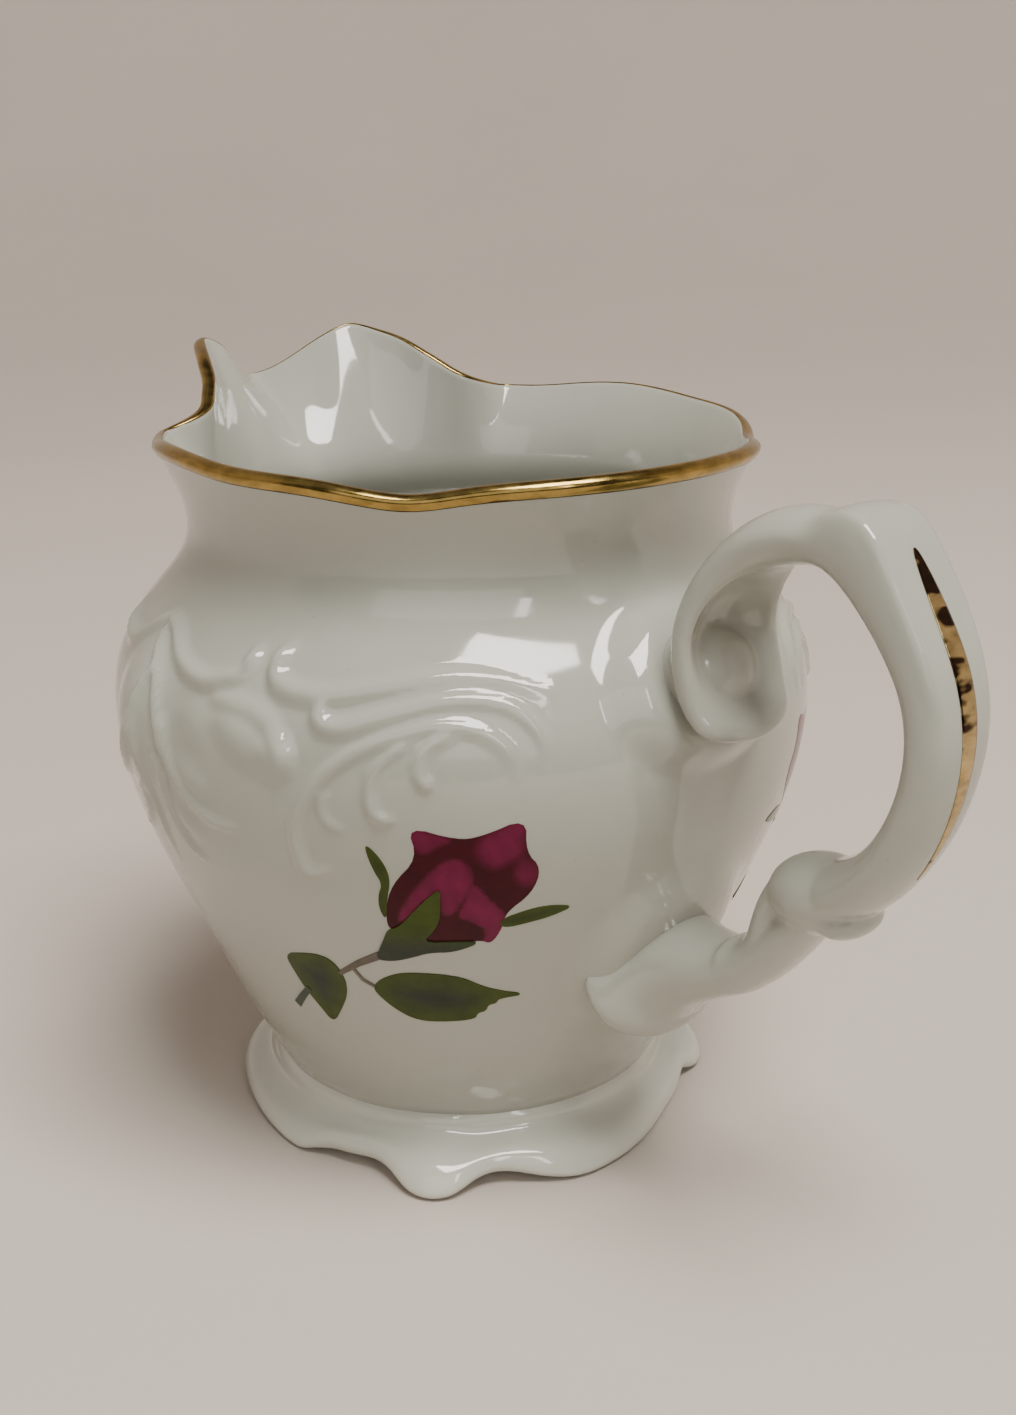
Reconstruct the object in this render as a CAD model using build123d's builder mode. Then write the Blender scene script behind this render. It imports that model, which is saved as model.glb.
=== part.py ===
from build123d import *
from math import cos, radians, sin
import os

# Porcelain cream jug. Millimetres, +Z up, origin on the table at the centre of the footring.
# +X points to the handle, -X to the pouring lip, and the XZ plane is the plane of symmetry.

# ---- pot ----
waist_radius = 23.6       # where the pot is stuck on the foot
waist_height = 6.0
belly_radius = 40.2
belly_height = 52.0
neck_radius = 30.9
neck_height = 71.5
rim_height = 81.2
ear_height = 88.4
lip_reach = 45.8          # from the centre to the tip of the pouring lip
wall = 2.3
floor_thickness = 2.6

# ---- foot ----
foot_edge_radius = 28.5   # at the middle of each broad lobe
foot_tip_radius = 30.8    # at the three small tongues
foot_notch_radius = 27.4
tongue_angle = 50         # of the two tongues beside the handle; the third is under the lip
notch_half_angle = 13     # from the tip of a tongue to the notch beside it
foot_edge_thickness = 1.7
foot_gap = 0.35           # the flange is clear of the table by this much
foot_notch_lift = 1.3     # extra rise of the edge in each notch
ring_radius = 21.5        # middle of the footring that stands on the table
ring_width = 2.4
recess_depth = 2.6

# ---- handle ----
handle_reach = 27.6       # centre of the bow beyond the belly
handle_width = 9.6        # across the jug
handle_depth = 5.4        # in the plane of the bow
root_width = 12.0
volute_radius = 4.9
strut_width = 9.0
strut_depth = 5.6

# ---- decoration ----
gilt = 0.12               # thickness of the fired gold
gilt_line = 1.1           # height of the gold line on the rim
stripe_width = 1.9
stripe_length = 30.0
print_thickness = 0.12
spray_angle = 43.0        # of each rose spray, from the handle

# ---------------------------------------------------------------------------
# Pot. The outline below the neck is turned: each point is a radius, a height
# and the lean of the wall there, so that an inset follows the wall squarely.
# ---------------------------------------------------------------------------
rise = belly_height - waist_height
swell = belly_radius - waist_radius
shoulder = neck_height - belly_height
turned_outline = [
    (waist_radius, waist_height, 24),
    (waist_radius + 0.36 * swell, waist_height + 0.27 * rise, 22),
    (waist_radius + 0.83 * swell, waist_height + 0.695 * rise, 17),
    (belly_radius, belly_height, 0),
    (belly_radius + 0.42 * (neck_radius - belly_radius), belly_height + 0.53 * shoulder, -42),
    (neck_radius, neck_height, 0),
]


def inset_point(radius, height, lean, inset):
    """A point of the turned outline, moved in by the inset, square to the wall."""
    return (radius - inset * cos(radians(lean)), height + inset * sin(radians(lean)))


def turned_body(inset):
    """The solid of revolution up to the neck, drawn in by the inset."""
    points = [inset_point(radius, height, lean, inset) for radius, height, lean in turned_outline]
    with BuildPart() as turned:
        with BuildSketch(Plane.XZ):
            with BuildLine():
                wall_line = Spline(points, tangents=[(0.42, 1), (0, 1)])
                Polyline(wall_line @ 1, (0, neck_height), (0, points[0][1]), wall_line @ 0)
            make_face()
        revolve(axis=Axis.Z)
    return turned.part


# Plan of the rim, from the handle round to the lip: angle and radius. It has blunt corners near
# 47 and 131 degrees, a pinch where the spout leaves the pot, and an ear before the lip.
rim_plan = [
    (0, 36.0), (24, 35.4), (47, 33.8), (70, 34.4), (92, 34.7), (113, 34.5), (130, 34.0),
    (140, 30.8), (149, 32.3), (157, 36.0), (164, 38.5), (172, 40.9), (180, lip_reach),
]


def mouth_outline(spread, inset):
    """Closed plan curve between the round neck (spread 0) and the rim (spread 1)."""
    half = [
        (neck_radius + (radius - neck_radius) * spread - inset, angle)
        for angle, radius in rim_plan
    ]
    whole = half + [(radius, -angle) for radius, angle in reversed(half[1:-1])]
    return [(radius * cos(radians(angle)), radius * sin(radians(angle))) for radius, angle in whole]


# The neck flares slowly at first, then fast: height above the neck and spread.
flare_height = rim_height + 0.6 - neck_height
flare = [(0.4 * flare_height, 0.2), (0.72 * flare_height, 0.58), (flare_height, 1.0)]
trim_allowance = 4.0


def mouth_body(inset):
    """The flaring neck and spout, run up past the ears, to be trimmed to the waved rim."""
    with BuildPart() as mouth:
        with BuildSketch(Plane.XY.offset(neck_height)):
            Circle(neck_radius - inset)
        for height, spread in flare:
            with BuildSketch(Plane.XY.offset(neck_height + height)):
                with BuildLine():
                    Spline(mouth_outline(spread, inset), periodic=True)
                make_face()
        loft()
        with BuildSketch(Plane.XY.offset(neck_height + flare_height)):
            with BuildLine():
                Spline(mouth_outline(1.0, inset), periodic=True)
            make_face()
        extrude(amount=ear_height + trim_allowance - neck_height - flare_height)
    return mouth.part


# Height of the rim seen from the side, from the lip to the handle.
ear_rise = ear_height - rim_height
rim_wave = [
    (-lip_reach - 6, rim_height - 2.0),
    (-lip_reach, rim_height + 0.6),
    (-lip_reach + 3.4, rim_height + 1.7),
    (-lip_reach + 5.6, rim_height + 0.5 * ear_rise),
    (-lip_reach + 8.9, ear_height),
    (-lip_reach + 12.7, ear_height - 0.6),
    (-lip_reach + 18.6, rim_height + 0.58 * ear_rise),
    (-lip_reach + 22.6, rim_height + 0.6),
    (-12.0, rim_height + 0.4),
    (0.0, rim_height + 0.1),
    (12.0, rim_height - 0.7),
    (22.7, rim_height - 1.5),
    (31.0, rim_height - 0.4),
    (36.0, rim_height),
    (46.0, rim_height + 0.6),
]
trim_width = 2 * (belly_radius + 10)


def above_rim(drop):
    """Everything above the waved rim line, which is lowered by the drop."""
    line = [(x, height - drop) for x, height in rim_wave]
    ceiling = ear_height + 3 * trim_allowance
    with BuildPart() as above:
        with BuildSketch(Plane.XZ):
            with BuildLine():
                wave = Spline(line)
                Polyline(wave @ 1, (line[-1][0], ceiling), (line[0][0], ceiling), wave @ 0)
            make_face()
        extrude(amount=trim_width / 2, both=True)
    return above.part


# The pot's outer form as a full solid. Whatever is stuck on the pot is cut back to it.
with BuildPart() as outer_form:
    add(turned_body(0))
    add(mouth_body(0))
    add(above_rim(0), mode=Mode.SUBTRACT)

with BuildPart() as inner_form:
    add(turned_body(wall))
    add(mouth_body(wall))
    with BuildSketch(Plane.XY):
        Circle(belly_radius)
    extrude(amount=waist_height + floor_thickness, mode=Mode.SUBTRACT)

with BuildPart() as body:
    add(outer_form.part)
    add(inner_form.part, mode=Mode.SUBTRACT)
body.part.label = "body"

# ---------------------------------------------------------------------------
# Foot: a flange that flares from the waist to a scalloped edge, with a
# recessed underside and a plain ring that takes the weight.
# ---------------------------------------------------------------------------
tongue_tips = (tongue_angle, 180, 360 - tongue_angle)
tongue = [
    (-notch_half_angle - 8, foot_edge_radius - 0.3), (-notch_half_angle, foot_notch_radius),
    (-5, foot_tip_radius - 0.9), (0, foot_tip_radius), (5, foot_tip_radius - 0.9),
    (notch_half_angle, foot_notch_radius), (notch_half_angle + 8, foot_edge_radius - 0.3),
]
lobes = (0, 15, 90, 103, 116, 129, 142, 218, 231, 244, 257, 270, 345)
edge_plan = [(tip + angle, radius) for tip in tongue_tips for angle, radius in tongue]
edge_plan += [(angle, foot_edge_radius) for angle in lobes]
scallop = [
    (radius * cos(radians(angle)), radius * sin(radians(angle)))
    for angle, radius in sorted(edge_plan)
]
notch_angles = [tip + side for tip in tongue_tips for side in (-notch_half_angle, notch_half_angle)]
notch_cutter_radius = 3.4

with BuildPart() as foot:
    with BuildSketch(Plane.XZ):
        with BuildLine():
            edge_top = (foot_tip_radius + 1, foot_gap + foot_edge_thickness - 0.5)
            flank = Spline((waist_radius, waist_height), edge_top, tangents=[(0.25, -1), (1, -0.12)])
            Polyline(
                flank @ 1,
                (foot_tip_radius + 1, foot_gap),
                (ring_radius + ring_width / 2, foot_gap),
                (ring_radius + ring_width / 2, 0),
                (0, 0),
                (0, waist_height),
                flank @ 0,
            )
        make_face()
    revolve(axis=Axis.Z)
    with BuildSketch(Plane.XY):
        with BuildLine():
            Spline(scallop, periodic=True)
        make_face()
    extrude(amount=waist_height, mode=Mode.INTERSECT)
    with BuildSketch(Plane.XY):
        Circle(ring_radius - ring_width / 2)
    extrude(amount=recess_depth, taper=12, mode=Mode.SUBTRACT)
    for angle in notch_angles:
        along = (cos(radians(angle)), sin(radians(angle)), 0)
        start = Vector(*along) * (ring_radius + ring_width / 2 + 1.6)
        start += Vector(0, 0, foot_gap + foot_notch_lift - notch_cutter_radius)
        with BuildSketch(Plane(origin=start, z_dir=along)):
            Circle(notch_cutter_radius)
        extrude(amount=foot_tip_radius, mode=Mode.SUBTRACT)
foot.part.label = "foot"

# ---------------------------------------------------------------------------
# Handle: an upper scroll that rises from the shoulder, bows out and curls in to
# a volute, and a short lower scroll from under the volute to the pot.
# Each station is an offset from the belly, a height, the heading of the strand,
# its depth in the plane of the bow, and its width across the jug.
# ---------------------------------------------------------------------------
bow = handle_reach
upper_root = belly_height + 8.5
lower_root = belly_height - 25.5
upper_scroll = [
    (-7.5, upper_root - 1.0, 8, 8.0, root_width),
    (0.6, upper_root + 1.2, 40, 7.4, root_width),
    (2.6, upper_root + 6.5, 80, 6.2, root_width - 0.4),
    (6.0, upper_root + 13.4, 52, 6.0, handle_width + 0.6),
    (12.6, upper_root + 18.0, 20, 6.2, handle_width),
    (19.6, upper_root + 17.4, -24, 6.6, handle_width),
    (25.2, upper_root + 12.4, -56, handle_depth + 0.6, handle_width),
    (bow - 0.1, upper_root + 6.0, -78, handle_depth, handle_width),
    (bow, upper_root - 1.0, -92, handle_depth, handle_width),
    (26.0, upper_root - 8.2, -111, handle_depth, handle_width),
    (21.6, upper_root - 14.2, -137, handle_depth + 0.6, handle_width),
    (14.4, upper_root - 17.6, -165, 6.6, handle_width),
]
lower_scroll = [
    (-12.5, lower_root - 1.5, 5, 9.0, strut_width + 1),
    (-1.5, lower_root + 0.6, 22, strut_depth + 1.2, strut_width),
    (5.2, lower_root + 4.6, 44, strut_depth, strut_width),
    (9.6, lower_root + 10.0, 56, strut_depth, strut_width),
    (13.6, lower_root + 15.4, 50, strut_depth, strut_width - 1.5),
]
volute_centre = (belly_radius + 13.6, upper_root - 18.0)


def strand(stations, growth):
    """A strand of oval section through the stations, grown all round by the growth."""
    with BuildPart() as limb:
        for offset_out, height, heading, depth, width in stations:
            place = Plane(
                origin=(belly_radius + offset_out, 0, height),
                x_dir=(0, 1, 0),
                z_dir=(cos(radians(heading)), 0, sin(radians(heading))),
            )
            with BuildSketch(place):
                Ellipse(width / 2 + growth, depth / 2 + growth)
        loft()
    return limb.part


with BuildPart() as handle:
    add(strand(upper_scroll, 0))
    add(strand(lower_scroll, 0))
    with Locations((volute_centre[0], 0, volute_centre[1])):
        Sphere(volute_radius)
    add(outer_form.part, mode=Mode.SUBTRACT)
handle.part.label = "handle"

# ---------------------------------------------------------------------------
# Gilding: thin fired gold on the outside of the rim, and a spindle-shaped
# stripe down the back of the bow.
# ---------------------------------------------------------------------------
with BuildPart() as rim_gilding:
    add(mouth_body(-gilt))
    add(mouth_body(0), mode=Mode.SUBTRACT)
    add(above_rim(0), mode=Mode.SUBTRACT)
    add(above_rim(gilt_line), mode=Mode.INTERSECT)
rim_gilding.part.label = "rim_gilding"

stripe_top = upper_root + 17.0
with BuildPart() as stripe_skins:
    with BuildSketch(Plane.YZ.offset(belly_radius + bow - 6)):
        with BuildLine():
            edge = ThreePointArc(
                (0, stripe_top),
                (stripe_width / 2, stripe_top - stripe_length / 2),
                (0, stripe_top - stripe_length),
            )
            mirror(edge, about=Plane.YZ)
        make_face()
    extrude(amount=handle_depth + 8)
    add(strand(upper_scroll, gilt), mode=Mode.INTERSECT)
    add(strand(upper_scroll, 0), mode=Mode.SUBTRACT)

# Of the skins on the two sides of the bow, the one on its back is gilded.
with BuildPart() as handle_gilding:
    add(stripe_skins.solids().sort_by(Axis.X)[-1])
handle_gilding.part.label = "handle_gilding"

# ---------------------------------------------------------------------------
# Rose sprays: each is one thin printed skin, cut from a layer over the pot.
# Outlines are drawn on the plane that faces the spray, from its centre.
# ---------------------------------------------------------------------------
spray_height = belly_height - 12.0
bud = [
    (-2.3, 8.0), (1.9, 7.5), (8.0, 8.6), (8.6, 5.7), (10.0, 3.4), (9.4, 1.0), (6.9, -1.4),
    (6.6, -3.3), (5.3, -5.6), (1.4, -5.2), (-2.5, -5.5), (-5.8, -3.8), (-5.8, -1.0),
    (-4.8, 2.2), (-2.0, 5.5),
]
calyx = [(-6.9, -8.0), (-6.2, -5.6), (-5.4, -3.0), (0.0, -4.6), (3.4, -5.4), (-1.5, -6.6), (-5.0, -8.1)]
left_sepal = [(-6.8, 6.6), (-5.0, 4.2), (-4.7, 1.0), (-5.3, -3.4), (-6.1, -1.1), (-6.0, 0.7), (-6.3, 3.5)]
right_sepal = [(6.2, -2.4), (9.2, -1.1), (13.6, -1.6), (9.5, -2.9), (6.4, -3.4)]
stem_line = [(-5.8, -7.4), (-9.2, -9.3), (-11.2, -10.3)]
twig_line = [(-9.8, -9.7), (-8.8, -11.1), (-7.0, -12.4)]
stem_thickness = 0.8
small_leaf = [
    (-15.9, -10.8), (-14.6, -9.4), (-12.4, -8.9), (-11.0, -9.6), (-10.2, -11.7), (-10.0, -14.2),
    (-10.9, -16.7), (-12.3, -18.8), (-13.9, -17.3), (-15.2, -15.2), (-16.2, -12.9),
]
long_leaf = [
    (-7.5, -12.5), (-6.2, -10.9), (-4.2, -9.9), (-1.1, -9.8), (1.7, -10.3), (3.6, -11.6), (7.7, -13.4),
    (5.3, -14.0), (3.0, -16.7), (0.0, -17.0), (-3.3, -17.0), (-5.3, -15.7), (-6.8, -14.1),
]


def rose_spray(angle, flip):
    """One spray at an angle from the handle; flip is -1 for its mirror image."""
    out = (cos(radians(angle)), sin(radians(angle)), 0)
    facing = Plane(
        origin=Vector(*out) * (belly_radius / 2) + Vector(0, 0, spray_height),
        x_dir=(-out[1], out[0], 0),
        z_dir=out,
    )
    with BuildPart() as spray:
        with BuildSketch(facing):
            for outline in (bud, calyx, left_sepal, right_sepal, small_leaf, long_leaf):
                with BuildLine():
                    Polyline([(flip * x, y) for x, y in outline], close=True)
                make_face()
            for line in (stem_line, twig_line):
                with BuildLine() as centre_line:
                    Polyline([(flip * x, y) for x, y in line])
                trace(centre_line.line, line_width=stem_thickness)
        extrude(amount=belly_radius)
        add(turned_body(-print_thickness), mode=Mode.INTERSECT)
        add(turned_body(0), mode=Mode.SUBTRACT)
    return spray.part


with BuildPart() as rose_transfer_near:
    add(rose_spray(-spray_angle, 1))
rose_transfer_near.part.label = "rose_transfer_near"

with BuildPart() as rose_transfer_far:
    add(rose_spray(spray_angle, -1))
rose_transfer_far.part.label = "rose_transfer_far"

os.makedirs("parts", exist_ok=True)
export_step(body.part, "parts/body.step")
export_step(foot.part, "parts/foot.step")
export_step(handle.part, "parts/handle.step")
export_step(rim_gilding.part, "parts/rim_gilding.step")
export_step(handle_gilding.part, "parts/handle_gilding.step")
export_step(rose_transfer_near.part, "parts/rose_transfer_near.step")
export_step(rose_transfer_far.part, "parts/rose_transfer_far.step")
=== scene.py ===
import bmesh
import bpy
from math import atan2, cos, degrees, hypot, pi, radians, sin
from mathutils import Matrix, Vector
import numpy as np


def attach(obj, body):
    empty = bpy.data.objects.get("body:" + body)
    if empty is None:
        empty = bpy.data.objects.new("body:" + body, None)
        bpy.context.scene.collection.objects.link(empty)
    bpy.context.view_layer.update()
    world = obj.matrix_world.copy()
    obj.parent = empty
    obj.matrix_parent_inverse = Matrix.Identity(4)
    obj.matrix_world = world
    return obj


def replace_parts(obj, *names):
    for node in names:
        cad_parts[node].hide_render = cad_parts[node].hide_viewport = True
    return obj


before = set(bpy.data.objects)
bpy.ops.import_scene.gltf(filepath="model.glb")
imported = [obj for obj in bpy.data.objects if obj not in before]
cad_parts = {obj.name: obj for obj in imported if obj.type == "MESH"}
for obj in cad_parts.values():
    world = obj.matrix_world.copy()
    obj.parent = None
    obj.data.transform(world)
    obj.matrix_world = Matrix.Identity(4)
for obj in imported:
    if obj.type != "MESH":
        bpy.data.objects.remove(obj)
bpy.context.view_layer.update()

# Meshes are drawn in millimetres and shrunk to metres when they are finished.
# +X points to the handle, -X to the pouring lip, and the jug stands on z = 0.

# ------------------------------------------------
# Foot. A porcelain flange with broad lobes and three small tongues, pressed in a mould
# and stuck under the pot with slip. It stands on a ring hidden underneath.
# ------------------------------------------------
MM = 0.001


def fair_curve(stops, start_slope=None, end_slope=None):
    """A function that runs through the stops (place, value) with smooth curvature."""
    xs, ys = (np.array(column, float) for column in zip(*stops))
    last = len(xs) - 1
    gaps = np.diff(xs)
    system = np.zeros((last + 1, last + 1))
    right = np.zeros(last + 1)
    for i in range(1, last):
        system[i, i - 1] = 1 / gaps[i - 1]
        system[i, i] = 2 / gaps[i - 1] + 2 / gaps[i]
        system[i, i + 1] = 1 / gaps[i]
        before = (ys[i] - ys[i - 1]) / gaps[i - 1] ** 2
        after = (ys[i + 1] - ys[i]) / gaps[i] ** 2
        right[i] = 3 * (before + after)
    if start_slope is None:
        system[0, 0], system[0, 1] = 2, 1
        right[0] = 3 * (ys[1] - ys[0]) / gaps[0]
    else:
        system[0, 0], right[0] = 1, start_slope
    if end_slope is None:
        system[last, last], system[last, last - 1] = 2, 1
        right[last] = 3 * (ys[last] - ys[last - 1]) / gaps[last - 1]
    else:
        system[last, last], right[last] = 1, end_slope
    slopes = np.linalg.solve(system, right)

    def value(place):
        place = np.clip(place, xs[0], xs[-1])
        i = np.clip(np.searchsorted(xs, place) - 1, 0, last - 1)
        t = (place - xs[i]) / gaps[i]
        rise = ys[i] * (1 + 2 * t) * (1 - t) ** 2 + ys[i + 1] * t * t * (3 - 2 * t)
        return rise + gaps[i] * (slopes[i] * t * (1 - t) ** 2 + slopes[i + 1] * t * t * (t - 1))

    return value


def turned(outline, steps):
    """A mesh spun about the upright axis from an outline of (radius, height)."""
    mesh = bmesh.new()
    points = [mesh.verts.new((radius, 0, height)) for radius, height in outline]
    rims = [mesh.edges.new(pair) for pair in zip(points, points[1:])]
    bmesh.ops.spin(
        mesh,
        geom=points + rims,
        cent=(0, 0, 0),
        axis=(0, 0, 1),
        angle=2 * pi,
        steps=steps,
        use_merge=True,
    )
    bmesh.ops.remove_doubles(mesh, verts=mesh.verts, dist=0.001)
    bmesh.ops.recalc_face_normals(mesh, faces=mesh.faces)
    return mesh


def finished(name, mesh, material, smooth=True):
    """Shrinks a mesh to metres and makes it an object with its material."""
    bmesh.ops.scale(mesh, vec=(MM, MM, MM), verts=mesh.verts)
    data = bpy.data.meshes.new(name)
    mesh.to_mesh(data)
    mesh.free()
    data.polygons.foreach_set("use_smooth", [smooth] * len(data.polygons))
    piece = bpy.data.objects.new(name, data)
    bpy.context.scene.collection.objects.link(piece)
    if material:
        data.materials.append(material)
    return piece


def node(tree, kind, **settings):
    """Adds a node to a tree; settings are its properties, or the defaults of its inputs."""
    made = tree.nodes.new("ShaderNode" + kind)
    for name, value in settings.items():
        if hasattr(made, name):
            setattr(made, name, value)
        else:
            made.inputs[name.replace("_", " ")].default_value = value
    return made


def glaze_group():
    """Clear glaze over porcelain: faint clouding of the colour, a changing gloss, and fine waviness."""
    group = bpy.data.node_groups.new("porcelain_glaze", "ShaderNodeTree")
    face = group.interface
    for name, kind, direction in (
        ("Clear", "NodeSocketColor", "INPUT"),
        ("Clouded", "NodeSocketColor", "INPUT"),
        ("Gloss", "NodeSocketFloat", "INPUT"),
        ("Color", "NodeSocketColor", "OUTPUT"),
        ("Roughness", "NodeSocketFloat", "OUTPUT"),
        ("Height", "NodeSocketFloat", "OUTPUT"),
    ):
        face.new_socket(name=name, in_out=direction, socket_type=kind)
    inner = node(group, "TexCoord")
    given = group.nodes.new("NodeGroupInput")
    out = group.nodes.new("NodeGroupOutput")
    cloud = node(group, "TexNoise", Scale=45.0, Detail=4.0, Roughness=0.55)
    waves = node(group, "TexNoise", Scale=130.0, Detail=2.0, Roughness=0.4)
    peel = node(group, "TexNoise", Scale=900.0, Detail=2.0, Roughness=0.5)
    specks = node(group, "TexVoronoi", Scale=260.0)
    for texture in (cloud, waves, peel, specks):
        group.links.new(inner.outputs["Object"], texture.inputs["Vector"])
    tone = node(group, "MapRange", From_Min=0.32, From_Max=0.7)
    group.links.new(cloud.outputs["Fac"], tone.inputs["Value"])
    mixed = node(group, "Mix", data_type="RGBA")
    group.links.new(tone.outputs["Result"], mixed.inputs["Factor"])
    group.links.new(given.outputs["Clear"], mixed.inputs["A"])
    group.links.new(given.outputs["Clouded"], mixed.inputs["B"])
    pin = node(group, "MapRange", From_Min=0.018, From_Max=0.045, To_Min=0.86, To_Max=1.0)
    group.links.new(specks.outputs["Distance"], pin.inputs["Value"])
    specked = node(group, "Mix", data_type="RGBA", blend_type="MULTIPLY")
    specked.inputs["Factor"].default_value = 1.0
    group.links.new(mixed.outputs["Result"], specked.inputs["A"])
    group.links.new(pin.outputs["Result"], specked.inputs["B"])
    group.links.new(specked.outputs["Result"], out.inputs["Color"])
    sheen = node(group, "MapRange", From_Min=0.3, From_Max=0.7, To_Min=0.8, To_Max=1.35)
    group.links.new(waves.outputs["Fac"], sheen.inputs["Value"])
    gloss = node(group, "Math", operation="MULTIPLY")
    group.links.new(sheen.outputs["Result"], gloss.inputs[0])
    group.links.new(given.outputs["Gloss"], gloss.inputs[1])
    group.links.new(gloss.outputs["Value"], out.inputs["Roughness"])
    fine = node(group, "Math", operation="MULTIPLY")
    fine.inputs[1].default_value = 0.12
    group.links.new(peel.outputs["Fac"], fine.inputs[0])
    height = node(group, "Math", operation="ADD")
    group.links.new(waves.outputs["Fac"], height.inputs[0])
    group.links.new(fine.outputs["Value"], height.inputs[1])
    group.links.new(height.outputs["Value"], out.inputs["Height"])
    return group


glaze = glaze_group()


def porcelain(name, clear, clouded, gloss, wave_height):
    """White porcelain under a clear glaze."""
    material = bpy.data.materials.new(name)
    material.use_nodes = True
    tree = material.node_tree
    shader = tree.nodes["Principled BSDF"]
    shader.inputs["IOR"].default_value = 1.52
    shader.inputs["Coat IOR"].default_value = 1.5
    shader.inputs["Coat Roughness"].default_value = 0.03
    shader.inputs["Coat Weight"].default_value = 0.35
    shader.inputs["Subsurface Weight"].default_value = 0.12
    shader.inputs["Subsurface Radius"].default_value = (1.0, 0.95, 0.85)
    shader.inputs["Subsurface Scale"].default_value = 0.0015
    surface = tree.nodes.new("ShaderNodeGroup")
    surface.node_tree = glaze
    surface.inputs["Clear"].default_value = clear
    surface.inputs["Clouded"].default_value = clouded
    surface.inputs["Gloss"].default_value = gloss
    bump = node(tree, "Bump", Strength=1.0, Distance=wave_height)
    tree.links.new(surface.outputs["Height"], bump.inputs["Height"])
    tree.links.new(surface.outputs["Color"], shader.inputs["Base Color"])
    tree.links.new(surface.outputs["Roughness"], shader.inputs["Roughness"])
    tree.links.new(bump.outputs["Normal"], shader.inputs["Normal"])
    return material


# The foot is painted much lighter than the pot, though both are one porcelain: painted light, a lit copy of
# the pot's glaze.
foot_lit_white = (0.610, 0.610, 0.535, 1)
foot_lit_grey = (0.575, 0.577, 0.505, 1)
glaze_waves = 0.00003
foot_porcelain = porcelain("foot_porcelain", foot_lit_white, foot_lit_grey, 0.085, glaze_waves)

# Round the foot, from under the lip (-180 degrees) past the near side and the handle (0): how
# far out the edge is, how far it lifts off the table, and how much a tongue swells.
edge_reach = fair_curve(
    [
        (-180, 30.7), (-172, 29.6), (-166, 27.8), (-158, 28.4), (-148, 28.7), (-134, 28.5), (-120, 28.0),
        (-105, 27.9), (-92, 28.1), (-82, 28.0), (-76, 27.3), (-70, 27.2), (-64, 27.2), (-58, 28.4),
        (-53, 30.3), (-47.5, 31.2), (-42, 30.5), (-38, 29.2), (-34, 28.4), (-27, 28.5), (-20, 29.3),
        (-14, 29.7), (-6, 29.4), (4, 28.6), (14, 27.7), (25, 27.1), (32, 27.2), (38, 27.5), (44, 28.9),
        (51, 29.8), (58, 29.6), (64, 28.6), (70, 27.9), (80, 28.2), (95, 28.5), (150, 28.5), (160, 28.2),
        (166, 27.8), (172, 29.6), (180, 30.7),
    ],
    0,
    0,
)
edge_lift = fair_curve(
    [
        (-180, 0.1), (-174, 0.3), (-168, 1.7), (-162, 1.2), (-155, 0.2), (-148, 0.1), (-90, 0.1),
        (-83, 0.3), (-77, 1.5), (-71, 1.9), (-63, 2.0), (-57.5, 1.5), (-52, 0.4), (-47.5, 0.1),
        (-43, 0.4), (-38.5, 1.4), (-34, 1.9), (-28, 1.5), (-21, 0.7), (-15, 0.2), (-8, 0.1), (29, 0.1),
        (33.5, 0.6), (38, 1.7), (42.5, 0.7), (47, 0.1), (56, 0.1), (60, 0.8), (64, 1.4), (68, 0.8),
        (74, 0.1), (148, 0.1), (155, 0.2), (162, 1.2), (168, 1.7), (174, 0.3), (180, 0.1),
    ],
    0,
    0,
)
tongue_swell = fair_curve(
    [
        (-180, 0.55), (-172, 0.2), (-164, 0), (-61, 0), (-54, 0.35), (-47.5, 0.7), (-41, 0.35), (-35, 0.1),
        (-27, 0.35), (-18, 0.35), (-9, 0.1), (0, 0), (41, 0), (46, 0.2), (51, 0.4), (56, 0.2), (61, 0),
        (164, 0), (172, 0.2), (180, 0.55),
    ],
    0,
    0,
)

# Upper face from the waist out to the edge, and round under it: share of the way out, and height.
flange = [
    (0.00, 7.10), (0.035, 6.75), (0.085, 6.42), (0.12, 6.05), (0.135, 5.66), (0.15, 5.28), (0.185, 4.92),
    (0.24, 4.60), (0.31, 4.32), (0.39, 4.06), (0.48, 3.82), (0.57, 3.58), (0.66, 3.30), (0.75, 2.97),
    (0.83, 2.57), (0.90, 2.08), (0.95, 1.58), (0.985, 1.12), (1.00, 0.76), (0.99, 0.44), (0.95, 0.22),
    (0.89, 0.16), (0.80, 0.30),
]
waist_radius = 23.6
lathe_reach = 29.0
waist_height = 6.0
lowest_lift = 0.1
underside = 1.2
# Waist, flange, and underneath the hollow, the standing ring and the recess inside it.
foot_outline = [(0.0, waist_height), (12.0, waist_height), (waist_radius - 0.6, waist_height)]
foot_outline += [(waist_radius + share * (lathe_reach - waist_radius), height) for share, height in flange]
foot_outline += [
    (26.0, 0.80), (24.2, 1.05), (23.2, 0.75), (22.75, 0.30), (22.4, 0.06), (21.9, 0.0), (21.1, 0.0),
    (20.6, 0.06), (20.25, 0.35), (20.0, 1.2), (19.4, 2.2), (18.2, 2.8), (12.0, 3.0), (0.0, 3.05),
]
foot_mesh = turned(foot_outline, 360)
for point in foot_mesh.verts:
    radius = hypot(point.co.x, point.co.y)
    share = (radius - waist_radius) / (lathe_reach - waist_radius)
    if share <= 0:
        continue
    angle = degrees(atan2(point.co.y, point.co.x))
    reach = waist_radius + share * (float(edge_reach(angle)) - waist_radius)
    point.co.x *= reach / radius
    point.co.y *= reach / radius
    point.co.z += share ** 2 * max(lowest_lift, float(edge_lift(angle)))
    if point.co.z > underside:
        point.co.z += 4 * share * (1 - share) * float(tongue_swell(angle))
foot = finished("foot_flange", foot_mesh, foot_porcelain)
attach(foot, "root")
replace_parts(foot, "foot")

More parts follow.
